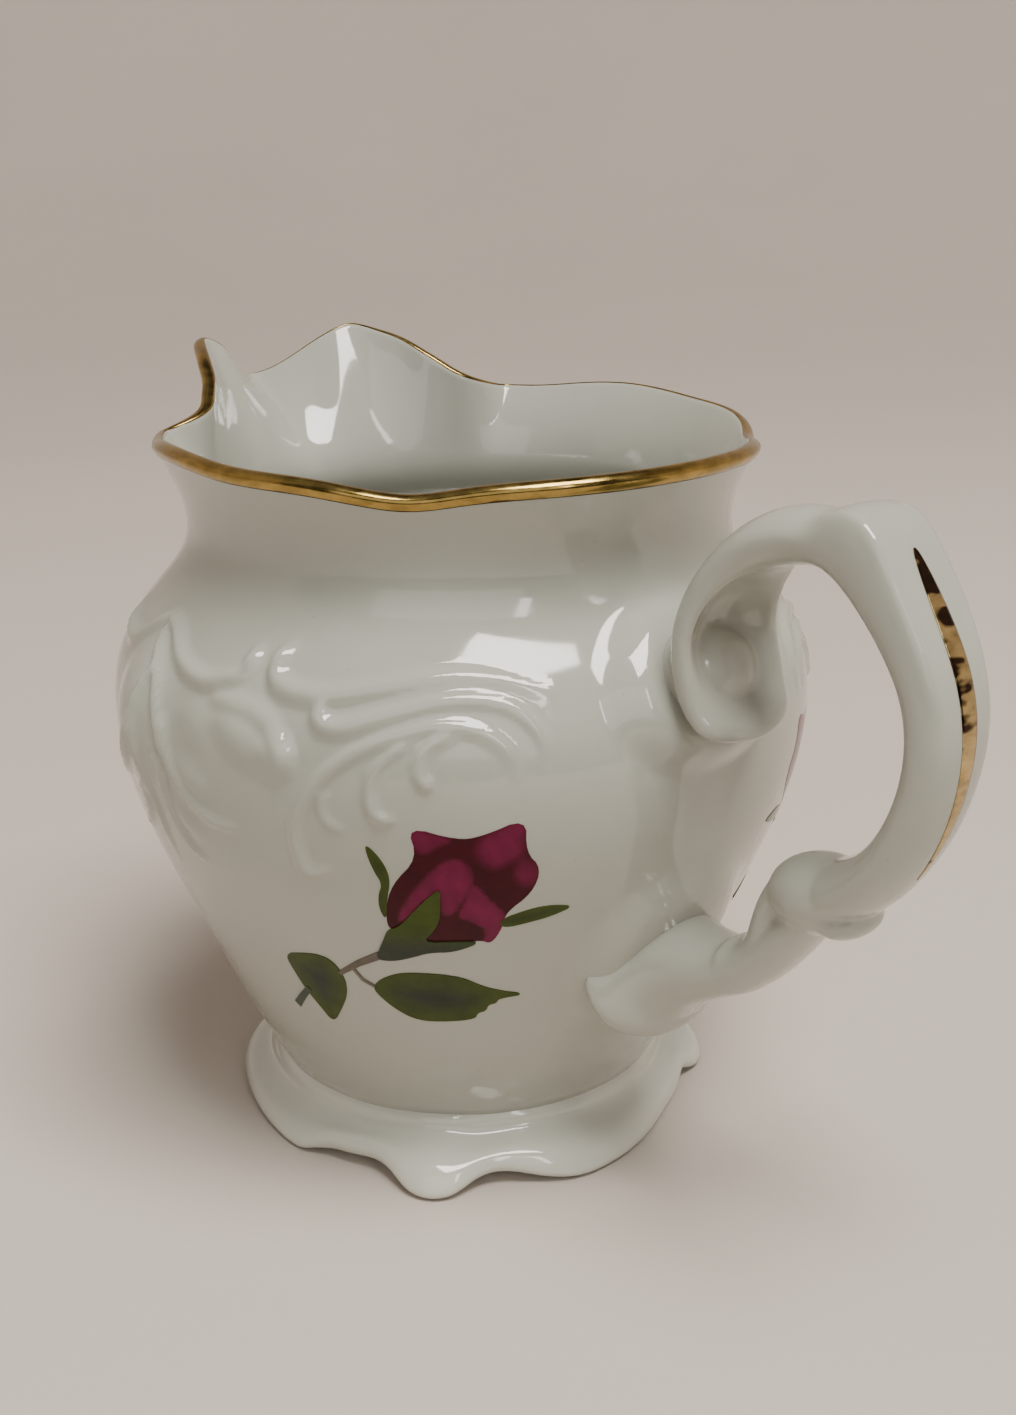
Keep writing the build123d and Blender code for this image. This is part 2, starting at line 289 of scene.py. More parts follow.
# ------------------------------------------------
# Pot. One slip-cast shell: round body, drawn-in neck, flared and waved rim with
# two ears and a pouring lip, and the palmette and scrolls that its mould gives it.
# ------------------------------------------------
white = (0.400, 0.402, 0.345, 1)
grey_white = (0.375, 0.379, 0.325, 1)
pot_porcelain = porcelain("pot_porcelain", white, grey_white, 0.075, glaze_waves)

wall = 2.3
rim_wall = 1.65
neck_height = 71.8
neck_radius = 30.9
wall_radius = fair_curve(
    [
        (6.2, 23.55), (14, 27.4), (23, 31.3), (32, 35.2), (42, 38.9), (52, 40.2), (58, 39.0),
        (62.2, 36.4), (66, 33.2), (69, 31.4), (neck_height, neck_radius),
    ],
    0.42,
    0,
)

# The rim, from the handle (0 degrees) round to the lip (180): how far out, and how high.
rim_reach = fair_curve(
    [
        (0, 36.0), (24, 35.4), (38, 34.0), (47, 33.6), (56, 34.2), (70, 34.5), (92, 34.7), (108, 34.7),
        (122, 34.5), (128, 34.6), (132, 34.1), (136, 31.8), (140, 30.5), (144, 30.9), (148, 31.8),
        (152, 33.5), (157, 36.0), (162, 38.5), (167, 39.1), (172, 40.7), (176, 42.6), (180, 45.0),
    ],
    0,
    0,
)
rim_height = fair_curve(
    [
        (0, 81.3), (23, 81.1), (38, 80.4), (48, 79.7), (56, 80.2), (64, 80.8), (82, 81.1), (100, 81.6),
        (112, 81.2), (122, 80.6), (128, 80.5), (132, 80.7), (136, 81.7), (140, 83.0), (144, 84.3),
        (148, 85.6), (152, 86.9), (157, 87.9), (162, 88.4), (167, 87.2), (172, 84.8), (176, 83.0),
        (180, 82.0),
    ],
    0,
    0,
)
# The plain turned mouth, before it is carried over to the waved one: its rim, and the depth of
# the rounded edge. The wall flares out in a curve of this power, and straighter in the spout.
lathe_rim = 81.0
rim_fall = 1.0
wall_top = lathe_rim - rim_fall
flare_power = 1.75
spout_power = 1.30
spout_start, spout_full = 128, 158


def mouth_surface(angle, share):
    """Points of the mouth's outer face, at a share of the way from the neck to the rim."""
    turn = np.abs((angle + 180) % 360 - 180)
    spout = np.clip((turn - spout_start) / (spout_full - spout_start), 0, 1)
    spout = spout * spout * (3 - 2 * spout)
    flare = np.clip(share, 0, None) ** (flare_power + (spout_power - flare_power) * spout)
    reach = neck_radius + (rim_reach(turn) - neck_radius) * flare
    height = neck_height + (rim_height(turn) - neck_height) * share
    around = np.radians(angle)
    return np.stack((reach * np.cos(around), reach * np.sin(around), height), axis=-1)


def mouth_place(angle, inset, height):
    """Carries points of the plain turned mouth over to the waved and lipped one, keeping the wall."""
    turn = np.abs((angle + 180) % 360 - 180)
    full = rim_height(turn) - neck_height
    below = np.minimum(height, wall_top)
    share = (below - neck_height) / (wall_top - neck_height) * (1 - rim_fall / full)
    middle = mouth_surface(angle, share)
    along = mouth_surface(angle, share + 0.02) - mouth_surface(angle, np.maximum(share - 0.02, 0))
    around = mouth_surface(angle + 1.5, share) - mouth_surface(angle - 1.5, share)
    along /= np.linalg.norm(along, axis=-1, keepdims=True)
    outward = np.cross(around, along)
    outward /= np.linalg.norm(outward, axis=-1, keepdims=True)
    beyond = (height - below)[:, None]
    return middle - outward * inset[:, None] + along * beyond


# Relief. Each ridge is a run of (angle, height), then its widths and its rises at the two ends. The angle
# is measured from the palmette's spine, towards the handle; both sides of the pot are alike.
spine_angle = 92.0
ridges = [
    # long scroll under the shoulder, from its curl
    ([(23.6, 64.0), (22.2, 63.2), (22.7, 62.0), (25.6, 61.0), (31, 60.8), (38, 61.6), (45, 62.4), (52, 62.9),
      (59, 62.5), (66, 61.3)], 1.15, 0.7, 0.95, 0.4),
    # second scroll, turning down at its far end
    ([(31.6, 60.0), (31.4, 58.9), (33.6, 58.2), (37, 58.6), (43, 59.8), (49, 60.8), (55, 61.0), (60, 60.2),
      (63, 58.6), (64.4, 56.6), (64.0, 54.8)], 1.0, 0.75, 0.8, 0.45),
    # great C scroll
    ([(32.0, 43.0), (29.4, 42.7), (28.0, 44.8), (28.1, 47.8), (29.6, 50.5), (32.4, 53.3), (36.2, 55.6),
      (41, 57.3), (46, 58.4), (51, 58.8), (56, 58.0), (59, 56.4), (60.2, 54.4)], 0.85, 0.7, 0.75, 0.45),
    # small curl inside it
    ([(33.0, 51.9), (32.3, 50.1), (33.4, 48.6), (35.2, 48.1)], 0.55, 0.45, 0.45, 0.3),
    # two fronds that hang from the C scroll
    ([(42.3, 49.5), (40.4, 50.0), (39.5, 51.9), (39.9, 53.9), (42.2, 56.0), (46, 57.6)], 0.7, 0.6, 0.6, 0.5),
    ([(47.9, 53.1), (46.6, 54.2), (46.6, 55.8), (48.6, 57.3), (51.6, 58.1)], 0.7, 0.6, 0.55, 0.5),
    # palmette: its two cups, which meet at a peak beyond the spine
    ([(-8.6, 64.0), (-4.2, 63.4), (-1.2, 62.4), (1.8, 61.3), (5.3, 60.6), (9.9, 60.3), (13.5, 60.9),
      (16.2, 61.9), (17.3, 63.3)], 0.7, 1.1, 0.9, 0.8),
    ([(-8.6, 64.0), (-12.4, 62.6), (-16.2, 61.0), (-21.0, 60.4), (-26.0, 61.2), (-29.2, 62.8)],
     0.8, 0.9, 0.8, 0.8),
    # palmette: spine and feathers
    ([(-8.0, 63.2), (-5.2, 61.2), (-1.6, 58.8), (0.4, 56.0), (1.8, 53.0), (2.4, 50.6)], 0.65, 0.6, 0.75, 0.6),
    ([(1.8, 55.4), (2.6, 53.2), (3.7, 51.1), (6.0, 48.9), (9.0, 47.2), (12.4, 46.1), (16.8, 46.0)],
     0.75, 0.6, 0.75, 0.5),
    ([(0.2, 52.0), (0.9, 50.0), (1.2, 47.0), (2.7, 43.8), (5.0, 41.5), (8.4, 40.2)], 0.7, 0.55, 0.7, 0.45),
    ([(-3.2, 60.0), (-4.6, 55.0), (-4.0, 49.0), (-3.0, 43.0), (-2.4, 38.0)], 0.7, 0.5, 0.8, 0.35),
    ([(-5.2, 54.0), (-9.6, 49.0), (-15.0, 46.2), (-19.6, 46.4)], 0.8, 0.6, 0.8, 0.5),
    ([(-4.6, 47.6), (-8.0, 42.6), (-12.6, 40.2)], 0.7, 0.55, 0.7, 0.4),
    # palmette: upper edge of the great petal
    ([(12.0, 59.1), (17.2, 59.1), (21.4, 58.6), (24.4, 57.4), (26.4, 55.7), (26.6, 53.9), (24.8, 52.8)],
     0.9, 1.15, 0.35, 0.75),
]
# Soft swellings: centre (angle from the spine, height), half width across, half height, tilt, rise.
mounds = [
    (19.6, 55.8, 6.4, 3.4, -24, 0.8),
    (25.2, 55.2, 2.6, 2.6, 0, 0.6),
    (9.5, 56.0, 3.4, 3.6, 0, 0.3),
    (17.3, 62.9, 1.5, 1.4, 0, 0.5),
    (22.8, 63.6, 1.5, 1.2, 0, 0.3),
    (31.2, 59.6, 1.5, 1.2, 0, 0.3),
    (8.0, 50.4, 4.2, 2.2, -25, 0.35),
    (5.8, 44.6, 3.4, 1.8, -30, 0.3),
    (-7.0, 54.0, 8.5, 10.5, 0, 1.5),
]
relief_floor, relief_top = 35.0, 68.0
# Millimetres round the belly to a radian.
round_scale = 40.0


def relief_height(angle, height):
    """Rise of the moulded ornament over the plain pot, for arrays of angle (degrees) and height."""
    aside = spine_angle - np.abs(angle)
    across = np.radians(aside) * round_scale
    total = np.zeros_like(across)
    for run, wide, narrow, high, low in ridges:
        path = np.array([(radians(a) * round_scale, z) for a, z in run])
        stops = np.concatenate(([0], np.cumsum(np.hypot(*np.diff(path, axis=0).T))))
        trail = np.linspace(0, stops[-1], max(12, int(stops[-1] * 3)))
        trail_x = fair_curve(list(zip(stops, path[:, 0])))(trail)
        trail_z = fair_curve(list(zip(stops, path[:, 1])))(trail)
        along = trail / stops[-1]
        near = (np.abs(across - trail_x.mean()) < np.ptp(trail_x) / 2 + 3) & (
            np.abs(height - trail_z.mean()) < np.ptp(trail_z) / 2 + 3
        )
        gap = np.hypot(across[near, None] - trail_x, height[near, None] - trail_z)
        ends = np.clip(np.minimum(along / 0.05, (1 - along) / 0.16), 0, 1)
        width = wide + (narrow - wide) * along
        rise = (high + (low - high) * along) * (0.35 + 0.65 * ends)
        ridge = (rise * np.clip(1 - (gap / (width * 1.25)) ** 2, 0, 1) ** 1.5).max(axis=1)
        total[near] = np.hypot(total[near], ridge)
    for angle_at, height_at, half_width, half_height, tilt, rise in mounds:
        x = across - radians(angle_at) * round_scale
        z = height - height_at
        lean = radians(tilt)
        off = np.hypot(
            (x * cos(lean) + z * sin(lean)) / half_width,
            (z * cos(lean) - x * sin(lean)) / half_height,
        )
        total += rise * np.clip(1 - off ** 2, 0, 1) ** 2
    return total


# Swellings of slip where the handle is luted on: height, half width across, half height, rise.
lutings = [(60.0, 13.5, 9.4, 2.1), (28.4, 15.5, 13.0, 1.5)]


def luting_height(angle, height):
    """Rise of the collars round the two ends of the handle."""
    across = np.radians(angle) * round_scale
    total = np.zeros_like(across)
    for height_at, half_width, half_height, rise in lutings:
        off = np.hypot(across / half_width, (height - height_at) / half_height)
        share = np.clip((1 - off) / 0.45, 0, 1)
        total += rise * share * share * (3 - 2 * share)
    return total


def evenly(start, end, step):
    """Heights from start up to end, about a step apart."""
    return list(np.linspace(start, end, max(2, int(round(abs(end - start) / step)) + 1)))


pot_base = 6.2
outer_heights = evenly(pot_base, relief_floor, 1.9)[:-1] + evenly(relief_floor, relief_top, 0.42)[:-1]
outer_heights += evenly(relief_top, neck_height, 0.6)[:-1] + evenly(neck_height, wall_top, 0.5)
floor_height = 9.0
inner_heights = evenly(wall_top, neck_height, 0.8) + evenly(neck_height, 15.0, 2.2)[1:]


def plain_radius(height):
    """Outer radius of the plain turned pot, with a straight neck above it."""
    return float(wall_radius(min(height, neck_height)))


def wall_at(height):
    """Thickness of the wall, which thins from the neck to the rim."""
    return wall - (wall - rim_wall) * max(0, height - neck_height) / (wall_top - neck_height)


# The rounded edge of the rim: how far in from the outer face, and how high above the wall's top.
rim_round = [
    (0.02, 0.42), (0.11, 0.70), (0.28, 0.89), (0.52, 0.99), (0.82, 1.02), (1.12, 0.98), (1.36, 0.87),
    (1.53, 0.68), (1.62, 0.40),
]
pot_outline = [(0.0, 6.4), (12.0, 6.4), (plain_radius(pot_base) - 1.0, 6.3)]
pot_outline += [(plain_radius(height), height) for height in outer_heights]
pot_outline += [(neck_radius - inset, wall_top + rise) for inset, rise in rim_round]
pot_outline += [(plain_radius(height) - wall_at(height), height) for height in inner_heights]
pot_outline += [(23.6, 12.0), (21.8, 10.2), (19.0, 9.3), (14.0, floor_height), (0.0, floor_height - 0.1)]

pot_mesh = turned(pot_outline, 560)
place = np.array([point.co for point in pot_mesh.verts])
radius = np.hypot(place[:, 0], place[:, 1])
angle = np.degrees(np.arctan2(place[:, 1], place[:, 0]))
is_mouth = (place[:, 2] > neck_height + 0.001) & (radius > 10)
mouth = mouth_place(angle, neck_radius - radius, place[:, 2])
raised = relief_height(angle, place[:, 2]) + luting_height(angle, place[:, 2])
outside = radius > wall_radius(place[:, 2]) - 0.05
pot_mesh.normal_update()
for i, point in enumerate(pot_mesh.verts):
    if is_mouth[i]:
        point.co = mouth[i]
    elif outside[i] and raised[i] > 0:
        point.co += point.normal * raised[i]
pot = finished("pot_shell", pot_mesh, pot_porcelain)
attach(pot, "root")
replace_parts(pot, "body")

# ------------------------------------------------
# Handle. Cast in its own mould and luted on with slip: a hollow shell-shaped root on the
# shoulder, a bow whose back is a folded leaf, a volute, and a lower scroll that flares to the pot.
# ------------------------------------------------
handle_porcelain = porcelain("handle_porcelain", white, grey_white, 0.075, glaze_waves)

# Stations of a limb: out from the axis, height, depth of its back and of its finger side, width
# across the jug, how hollow the finger side is, and the crest along the two edges of its back.
upper_scroll = [
    (46.2, 56.2, 1.4, 1.5, 10.8, 0.0, 0.0),
    (43.6, 58.2, 2.1, 2.3, 13.2, 0.4, 0.0),
    (41.6, 62.0, 2.6, 2.9, 14.2, 1.1, 0.0),
    (41.0, 66.6, 2.7, 3.0, 13.8, 1.6, 0.0),
    (42.2, 70.6, 2.8, 3.1, 12.8, 1.3, 0.0),
    (44.9, 74.2, 2.9, 3.1, 11.6, 0.6, 0.0),
    (48.8, 76.9, 2.9, 3.0, 10.6, 0.1, 0.0),
    (52.4, 77.8, 2.6, 2.8, 9.8, 0.0, 0.0),
    (54.4, 77.9, 2.7, 2.8, 9.6, 0.0, 0.25),
    (56.2, 77.7, 4.0, 2.8, 9.6, 0.0, 0.8),
    (58.2, 76.9, 4.7, 2.8, 9.8, 0.0, 1.0),
    (60.4, 75.4, 3.9, 2.9, 10.0, 0.0, 1.0),
    (62.6, 73.2, 3.1, 2.8, 10.2, 0.0, 0.95),
    (64.7, 70.2, 2.85, 2.5, 10.0, 0.0, 0.85),
    (66.5, 66.8, 2.75, 2.35, 9.8, 0.0, 0.65),
    (67.5, 62.3, 2.7, 2.3, 9.7, 0.0, 0.4),
    (67.1, 57.5, 2.7, 2.3, 9.6, 0.0, 0.2),
    (65.6, 52.8, 2.7, 2.4, 9.6, 0.0, 0.1),
    (63.1, 48.5, 2.8, 2.6, 9.6, 0.0, 0.0),
    (59.6, 44.9, 3.0, 3.0, 9.4, 0.0, 0.0),
    (55.4, 42.8, 3.1, 3.0, 8.8, 0.0, 0.0),
]
inner_scroll = [
    (53.2, 43.8, 2.2, 2.2, 6.6, 0.0, 0.0),
    (51.2, 41.2, 2.3, 2.3, 7.2, 0.0, 0.0),
    (50.0, 38.2, 2.2, 2.2, 7.6, 0.0, 0.0),
    (49.2, 35.4, 2.2, 2.2, 7.8, 0.0, 0.0),
    (47.2, 32.8, 2.3, 2.3, 8.2, 0.0, 0.0),
    (43.6, 31.4, 2.6, 2.6, 9.0, 0.0, 0.0),
]
outer_scroll = [
    (55.6, 41.2, 1.8, 2.2, 7.4, 0.0, 0.0),
    (53.6, 39.0, 2.2, 2.4, 8.2, 0.0, 0.0),
    (51.3, 36.4, 2.5, 2.5, 8.4, 0.0, 0.0),
    (48.3, 33.2, 2.7, 2.7, 8.6, 0.0, 0.0),
    (44.0, 30.2, 3.1, 2.8, 9.2, 0.0, 0.0),
]
lower_root = [
    (48.6, 33.4, 2.5, 2.5, 8.0, 0.0, 0.0),
    (46.4, 31.6, 2.8, 2.8, 8.6, 0.0, 0.0),
    (43.4, 30.2, 3.2, 3.2, 9.4, 0.0, 0.0),
    (40.6, 29.4, 4.1, 3.8, 10.4, 0.0, 0.0),
    (38.0, 28.8, 5.2, 4.8, 11.8, 0.0, 0.0),
    (36.0, 28.2, 6.2, 6.0, 13.8, 0.0, 0.0),
    (34.4, 27.6, 7.2, 7.6, 17.0, 0.0, 0.0),
    (33.0, 27.0, 8.4, 9.6, 21.5, 0.0, 0.0),
    (31.4, 26.6, 9.6, 11.6, 26.0, 0.0, 0.0),
]


# The crested stretch of the bow: how square its section turns, and the roll along each edge of its
# back, with its rise, its place round the section and its half width (radians).
squareness = 0.38
roll_rise, roll_place, roll_half = 0.7, 0.85, 0.28


class Limb:
    """One limb of the handle, read at a share of its length from its stations."""

    def __init__(self, stations):
        path = np.array([station[:2] for station in stations])
        steps = np.concatenate(([0], np.cumsum(np.hypot(*np.diff(path, axis=0).T))))
        self.length = steps[-1]
        shares = steps / self.length
        columns = [fair_curve(list(zip(shares, column))) for column in zip(*stations)]
        self.out, self.up, self.back, self.face, self.width, self.hollow, self.crest = columns

    def frame(self, share):
        """Centre of the limb, and the direction straight out of its back."""
        ahead, behind = min(share + 0.004, 1), max(share - 0.004, 0)
        run = Vector((float(self.out(ahead) - self.out(behind)), 0, float(self.up(ahead) - self.up(behind))))
        run.normalize()
        return Vector((float(self.out(share)), 0, float(self.up(share)))), Vector((-run.z, 0, run.x))

    def skin(self, share, around, taper=1.0):
        """A point on the limb; 0 around is the middle of its back, and half a turn the finger side."""
        centre, back = self.frame(share)
        side, depth = sin(around), cos(around)
        crest = max(0, float(self.crest(share)))
        square = 1 - squareness * crest
        across = float(self.width(share)) / 2 * abs(side) ** square * (1 if side > 0 else -1)
        if depth > 0:
            lift = float(self.back(share)) * depth ** square
            lift += roll_rise * crest * np.exp(-(((abs(around) - roll_place) / roll_half) ** 2))
        else:
            hollow = float(self.hollow(share))
            fullness = 1 - hollow * (1 - side * side)
            lift = -float(self.face(share)) * (-depth) ** (1 - 0.4 * min(hollow, 1)) * fullness
        return centre + (back * lift + Vector((0, across, 0))) * taper

    def solid(self, around=48, step=0.5, dome=0.5):
        """A closed mesh: one ring extruded from place to place, with rounded ends."""
        end = dome * float(self.width(0.0)) / 2 / self.length
        turns = [end * (1 - cos(i / 8 * pi / 2)) for i in range(8)]
        middle = list(np.linspace(end, 1 - end, int(self.length / step)))
        shares = turns + middle + [1 - turn for turn in reversed(turns)]
        mesh = bmesh.new()
        bmesh.ops.create_circle(mesh, segments=around, radius=1.0)
        edges = list(mesh.edges)
        turned_by = {point: atan2(point.co.y, point.co.x) for point in mesh.verts}
        bmesh.ops.contextual_create(mesh, geom=edges)
        for i, share in enumerate(shares):
            if i:
                made = bmesh.ops.extrude_edge_only(mesh, edges=edges)["geom"]
                edges = [item for item in made if isinstance(item, bmesh.types.BMEdge)]
                points = [item for item in made if isinstance(item, bmesh.types.BMVert)]
                before = turned_by
                turned_by = {}
                for point in points:
                    beside = [edge.other_vert(point) for edge in point.link_edges]
                    turned_by[point] = next(before[source] for source in beside if source in before)
            near_end = min(share, 1 - share) / end
            taper = max(0.08, np.sqrt(max(0, 1 - (1 - min(near_end, 1)) ** 2)))
            for point, angle_round in turned_by.items():
                point.co = self.skin(share, angle_round, taper)
        bmesh.ops.contextual_create(mesh, geom=edges)
        bmesh.ops.recalc_face_normals(mesh, faces=mesh.faces)
        return mesh


def blob(centre, sizes, tilt):
    """A closed egg shape, tilted in the plane of the handle (degrees)."""
    mesh = bmesh.new()
    shape = (
        Matrix.Translation(centre)
        @ Matrix.Rotation(radians(-tilt), 4, "Y")
        @ Matrix.Diagonal((*sizes, 1))
    )
    bmesh.ops.create_icosphere(mesh, subdivisions=5, radius=1.0, matrix=shape)
    return mesh


def moulded(name, meshes, grain, passes):
    """Closed meshes run together into one skin, with the corners between them softened."""
    whole = bmesh.new()
    for mesh in meshes:
        carrier = bpy.data.meshes.new(name)
        mesh.to_mesh(carrier)
        mesh.free()
        whole.from_mesh(carrier)
        bpy.data.meshes.remove(carrier)
    data = bpy.data.meshes.new(name)
    whole.to_mesh(data)
    whole.free()
    rough = bpy.data.objects.new(name, data)
    bpy.context.scene.collection.objects.link(rough)
    remesh = rough.modifiers.new("run_together", "REMESH")
    remesh.mode = "VOXEL"
    remesh.voxel_size = grain
    remesh.adaptivity = 0.0
    together = bpy.data.meshes.new_from_object(rough.evaluated_get(bpy.context.evaluated_depsgraph_get()))
    mesh = bmesh.new()
    mesh.from_mesh(together)
    bpy.data.objects.remove(rough)
    bpy.data.meshes.remove(data)
    bpy.data.meshes.remove(together)
    for _ in range(passes):
        bmesh.ops.smooth_vert(
            mesh, verts=mesh.verts, factor=0.5, use_axis_x=True, use_axis_y=True, use_axis_z=True
        )
    return mesh


bow = Limb(upper_scroll)
handle_mesh = moulded(
    "handle_scroll",
    [
        bow.solid(),
        Limb(inner_scroll).solid(),
        Limb(outer_scroll).solid(),
        Limb(lower_root).solid(),
        blob((55.0, 0, 42.6), (5.6, 4.9, 4.0), 8),
        blob((58.6, 0, 41.1), (3.0, 3.8, 2.0), 22),
        blob((38.6, 0, 61.0), (4.8, 6.0, 5.4), 0),
    ],
    grain=0.30,
    passes=5,
)
# The two roots end inside the wall of the pot, not in its bowl.
root_depth = 1.1
place = np.array([point.co for point in handle_mesh.verts])
radius = np.hypot(place[:, 0], place[:, 1])
deepest = wall_radius(place[:, 2]) - root_depth
handle_mesh.verts.ensure_lookup_table()
for i in np.nonzero(radius < deepest)[0]:
    point = handle_mesh.verts[i]
    point.co.x *= deepest[i] / radius[i]
    point.co.y *= deepest[i] / radius[i]
handle = finished("handle_scroll", handle_mesh, handle_porcelain)
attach(handle, "root")
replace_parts(handle, "handle")

# ------------------------------------------------
# Rim gilding. A line of bright gold brushed on by hand over the edge of the mouth and
# fired, so it has the smoothness of the glaze under it and thins out at its lower edge.
# ------------------------------------------------


def gold(name, bright, deep, gloss, dark_patch_shift):
    """Fired liquid gold: yellow metal with brush marks, and browner where the thin attribute is high: thin
    gold, and on the handle stroke painted dark reflection.
    """
    material = bpy.data.materials.new(name)
    material.use_nodes = True
    tree = material.node_tree
    shader = tree.nodes["Principled BSDF"]
    shader.inputs["Metallic"].default_value = 1.0
    spot = node(tree, "TexCoord")
    stretch = node(tree, "Mapping", Scale=(1.0, 1.0, 2.5))
    tree.links.new(spot.outputs["Object"], stretch.inputs["Vector"])
    brush = node(tree, "TexNoise", Scale=420.0, Detail=4.0, Roughness=0.6)
    patches = node(tree, "TexNoise", Scale=230.0, Detail=2.0, Roughness=0.5)
    for texture in (brush, patches):
        tree.links.new(stretch.outputs["Vector"], texture.inputs["Vector"])
    # The thin attribute darkens the gold towards brown: thin gold along the rim line's lower edge, and on the
    # handle stroke painted dark reflection together with wear.
    thin = node(tree, "Attribute", attribute_name="thin")
    darkening = node(tree, "Math", operation="MULTIPLY_ADD")
    darkening.inputs[1].default_value = 0.5
    tree.links.new(thin.outputs["Fac"], darkening.inputs[0])
    tree.links.new(patches.outputs["Fac"], darkening.inputs[2])
    patch = node(tree, "MapRange", From_Min=0.70 - dark_patch_shift, From_Max=0.78 - dark_patch_shift)
    tree.links.new(darkening.outputs["Value"], patch.inputs["Value"])
    streak = node(tree, "MapRange", From_Min=0.35, From_Max=0.68, To_Min=0.62, To_Max=1.1)
    tree.links.new(brush.outputs["Fac"], streak.inputs["Value"])
    tone = node(tree, "Mix", data_type="RGBA")
    tone.inputs["A"].default_value = bright
    tone.inputs["B"].default_value = deep
    tree.links.new(patch.outputs["Result"], tone.inputs["Factor"])
    streaked = node(tree, "Mix", data_type="RGBA", blend_type="MULTIPLY")
    streaked.inputs["Factor"].default_value = 1.0
    tree.links.new(tone.outputs["Result"], streaked.inputs["A"])
    tree.links.new(streak.outputs["Result"], streaked.inputs["B"])
    tree.links.new(streaked.outputs["Result"], shader.inputs["Base Color"])
    rough = node(tree, "MapRange", From_Min=0.3, From_Max=0.7, To_Min=gloss * 0.7, To_Max=gloss * 1.6)
    tree.links.new(brush.outputs["Fac"], rough.inputs["Value"])
    tree.links.new(rough.outputs["Result"], shader.inputs["Roughness"])
    bump = node(tree, "Bump", Strength=0.6, Distance=0.00002)
    tree.links.new(brush.outputs["Fac"], bump.inputs["Height"])
    tree.links.new(bump.outputs["Normal"], shader.inputs["Normal"])
    return material


rim_gold = gold("rim_gold", (0.42, 0.282, 0.082, 1), (0.10, 0.052, 0.015, 1), 0.16, 0.0)


def offset_line(points, distance):
    """An outline moved square to itself, outwards for an outline drawn up its outer side."""
    moved = []
    for i, (x, z) in enumerate(points):
        x0, z0 = points[max(i - 1, 0)]
        x1, z1 = points[min(i + 1, len(points) - 1)]
        run = hypot(x1 - x0, z1 - z0)
        moved.append((x + distance * (z1 - z0) / run, z - distance * (x1 - x0) / run))
    return moved


gold_line = 1.15
gold_film = 0.05
rim_line = [(neck_radius, lathe_rim - gold_line + i * 0.15) for i in range(3)]
rim_line += [(neck_radius - inset, wall_top + rise) for inset, rise in rim_round[:8]]
gold_outline = offset_line(rim_line, gold_film) + offset_line(rim_line, -gold_film)[::-1]
gold_outline.append(gold_outline[0])
gold_mesh = turned(gold_outline, 560)
place = np.array([point.co for point in gold_mesh.verts])
radius = np.hypot(place[:, 0], place[:, 1])
angle = np.degrees(np.arctan2(place[:, 1], place[:, 0]))
mouth = mouth_place(angle, neck_radius - radius, place[:, 2])
thin = gold_mesh.verts.layers.float.new("thin")
for i, point in enumerate(gold_mesh.verts):
    point[thin] = float(np.clip((lathe_rim - gold_line + 0.22 - place[i, 2]) / 0.2, 0, 1)) * 0.9
    point.co = mouth[i]
rim_gilding = finished("rim_gold_line", gold_mesh, rim_gold)
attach(rim_gilding, "root")
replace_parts(rim_gilding, "rim_gilding")

# ------------------------------------------------
# Handle gilding. A spindle-shaped stroke of the same gold down the back of the bow,
# pointed at both ends, darkened brown in its upper half: wear, together with painted dark reflection.
# ------------------------------------------------
# The deep colour is near black, for the painted dark reflection in the stroke's upper half.
stroke_gold = gold("stroke_gold", (0.55, 0.40, 0.18, 1), (0.04, 0.02, 0.009, 1), 0.12, 0.0)
stroke_top, stroke_end = 78.4, 47.6
stroke_width = 1.55
stroke_mesh = bmesh.new()
bmesh.ops.create_grid(stroke_mesh, x_segments=6, y_segments=90, size=0.5)
thin = stroke_mesh.verts.layers.float.new("thin")
shares = np.linspace(0.45, 1, 400)
back_heights = np.array([bow.skin(share, 0.0).z for share in shares])
shares, back_heights = shares[back_heights.argmax():], back_heights[back_heights.argmax():]
for point in stroke_mesh.verts:
    down = point.co.y + 0.5
    half = stroke_width / 2 * sin(pi * min(max(down, 0.0), 1.0)) ** 0.8 + 0.01
    aim = stroke_top + (stroke_end - stroke_top) * down
    share = float(np.interp(-aim, -back_heights, shares))
    around = point.co.x * 2 * half / (float(bow.width(share)) / 2)
    # Brown in the upper half and at the top tip: painted dark reflection, together with wear.
    point[thin] = 0.42 * min(max((0.52 - down) / 0.03, 0), 1) + 0.25 * min(max((0.14 - down) / 0.04, 0), 1)
    point.co = bow.skin(share, around)
stroke = finished("handle_gold_stroke", stroke_mesh, stroke_gold)
cling = stroke.modifiers.new("cling", "SHRINKWRAP")
cling.target = handle
cling.wrap_method = "NEAREST_SURFACEPOINT"
cling.wrap_mode = "ABOVE_SURFACE"
cling.offset = 0.04 * MM
film = stroke.modifiers.new("film", "SOLIDIFY")
film.thickness = 0.08 * MM
film.offset = 0.0
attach(stroke, "root")
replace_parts(stroke, "handle_gilding")

# ------------------------------------------------
# Rose sprays. Ceramic transfers fired into the glaze, one on each side of the handle:
# a crimson bud in its green calyx, a bent stem, and two leaves.
# Outlines are laid out flat: across (from the middle of the spray, towards the handle), and height.
# ------------------------------------------------
bud = [
    (-3.0, 49.1), (1.9, 47.6), (4.2, 47.9), (8.7, 49.8), (8.7, 45.9), (10.4, 43.9), (9.6, 40.9), (6.9, 38.6),
    (6.7, 36.7), (5.5, 34.4), (4.3, 35.0), (1.4, 34.8), (-2.5, 34.5), (-4.9, 36.6), (-6.0, 36.3),
    (-5.9, 39.0), (-4.9, 42.2), (-2.0, 45.5),
]
